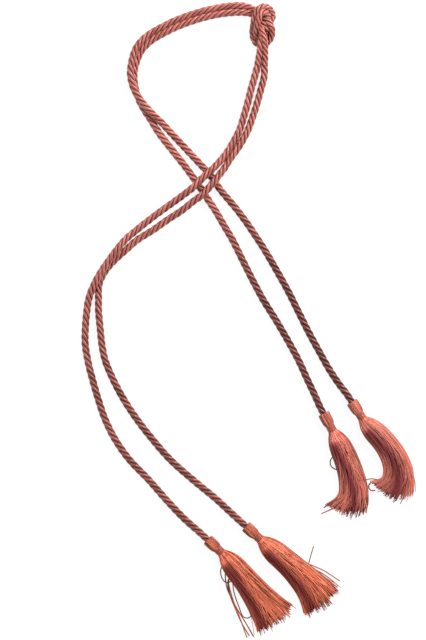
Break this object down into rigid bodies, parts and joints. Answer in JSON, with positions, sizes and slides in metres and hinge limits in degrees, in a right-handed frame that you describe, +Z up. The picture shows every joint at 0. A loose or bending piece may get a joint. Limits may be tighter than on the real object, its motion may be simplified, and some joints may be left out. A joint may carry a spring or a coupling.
{
  "type": "double graduation honor cord",
  "caption": "Twisted silky cords knotted together side by side at the back of the neck, with a yarn tassel on every end, laid out flat with the sides crossed.",
  "frame": {"origin": "on the surface the object lies on, under the centre of its bounding box", "axes": "+Y along the length towards the knot, +X to the right seen from above, +Z up out of the surface"},
  "size_m": [0.3996, 0.7572, 0.022],
  "materials": {
    "cord_yarn": "silky coral rayon plies with an S twist and a soft sheen",
    "tassel_yarn": "loose silky coral yarn with a soft sheen",
    "binding_thread": "fine coral thread wound tightly, with a satin sheen",
    "core_yarn": "dark coral yarn ends tied tightly, matt"
  },
  "bodies": {
    "neck_loop": {"cord_a_knot": "cord_yarn", "cord_b_knot": "cord_yarn", "cord_a_shoulder_1": "cord_yarn", "cord_b_shoulder_2": "cord_yarn", "cord_a_shoulder_3": "cord_yarn", "cord_b_shoulder_4": "cord_yarn"},
    "leg_1": {"cord_a_leg_1": "cord_yarn", "cord_end_1": "core_yarn"},
    "tassel_1": {"tassel_1_head": "tassel_yarn", "tassel_1_core": "core_yarn", "tassel_1_binding": "binding_thread"},
    "skirt_1": {"tassel_1_skirt": "tassel_yarn"},
    "leg_2": {"cord_b_leg_2": "cord_yarn", "cord_end_2": "core_yarn"},
    "tassel_2": {"tassel_2_head": "tassel_yarn", "tassel_2_core": "core_yarn", "tassel_2_binding": "binding_thread"},
    "skirt_2": {"tassel_2_skirt": "tassel_yarn"},
    "leg_3": {"cord_a_leg_3": "cord_yarn", "cord_end_3": "core_yarn"},
    "tassel_3": {"tassel_3_head": "tassel_yarn", "tassel_3_core": "core_yarn", "tassel_3_binding": "binding_thread"},
    "skirt_3": {"tassel_3_skirt": "tassel_yarn"},
    "leg_4": {"cord_b_leg_4": "cord_yarn", "cord_end_4": "core_yarn"},
    "tassel_4": {"tassel_4_head": "tassel_yarn", "tassel_4_core": "core_yarn", "tassel_4_binding": "binding_thread"},
    "skirt_4": {"tassel_4_skirt": "tassel_yarn"}
  },
  "joints": [
    {"name": "leg_1_bend", "type": "hinge", "parent": "neck_loop", "child": "leg_1", "pos_m": [-0.1948, -0.0139, 0.0042], "axis": [0, 0, 1], "range_deg": [-8, 0]},
    {"name": "tassel_1_swing", "type": "hinge", "parent": "leg_1", "child": "tassel_1", "pos_m": [-0.0478, -0.2669, 0.0072], "axis": [0, 0, 1], "range_deg": [-20, 0]},
    {"name": "skirt_1_sway", "type": "hinge", "parent": "tassel_1", "child": "skirt_1", "pos_m": [-0.02615, -0.28709, 0.0072], "axis": [0, 0, 1], "range_deg": [-12, 0]},
    {"name": "leg_2_bend", "type": "hinge", "parent": "neck_loop", "child": "leg_2", "pos_m": [-0.1768, -0.0139, 0.0042], "axis": [0, 0, 1], "range_deg": [0, 6]},
    {"name": "tassel_2_swing", "type": "hinge", "parent": "leg_2", "child": "tassel_2", "pos_m": [-0.0018, -0.2509, 0.0072], "axis": [0, 0, 1], "range_deg": [0, 10]},
    {"name": "skirt_2_sway", "type": "hinge", "parent": "tassel_2", "child": "skirt_2", "pos_m": [0.0202, -0.27071, 0.0072], "axis": [0, 0, 1], "range_deg": [0, 5]},
    {"name": "leg_3_bend", "type": "hinge", "parent": "neck_loop", "child": "leg_3", "pos_m": [-0.0178, 0.0921, 0.0042], "axis": [0, 0, 1], "range_deg": [-5, 0]},
    {"name": "tassel_3_swing", "type": "hinge", "parent": "leg_3", "child": "tassel_3", "pos_m": [0.0912, -0.1159, 0.0072], "axis": [0, 0, 1], "range_deg": [-12, 0]},
    {"name": "skirt_3_sway", "type": "hinge", "parent": "tassel_3", "child": "skirt_3", "pos_m": [0.1051, -0.14204, 0.0072], "axis": [0, 0, 1], "range_deg": [-10, 0]},
    {"name": "leg_4_bend", "type": "hinge", "parent": "neck_loop", "child": "leg_4", "pos_m": [0.0052, 0.1041, 0.0042], "axis": [0, 0, 1], "range_deg": [0, 8]},
    {"name": "tassel_4_swing", "type": "hinge", "parent": "leg_4", "child": "tassel_4", "pos_m": [0.1252, -0.1019, 0.0072], "axis": [0, 0, 1], "range_deg": [0, 20]},
    {"name": "skirt_4_sway", "type": "hinge", "parent": "tassel_4", "child": "skirt_4", "pos_m": [0.14132, -0.12672, 0.0072], "axis": [0, 0, 1], "range_deg": [0, 12]}
  ]
}
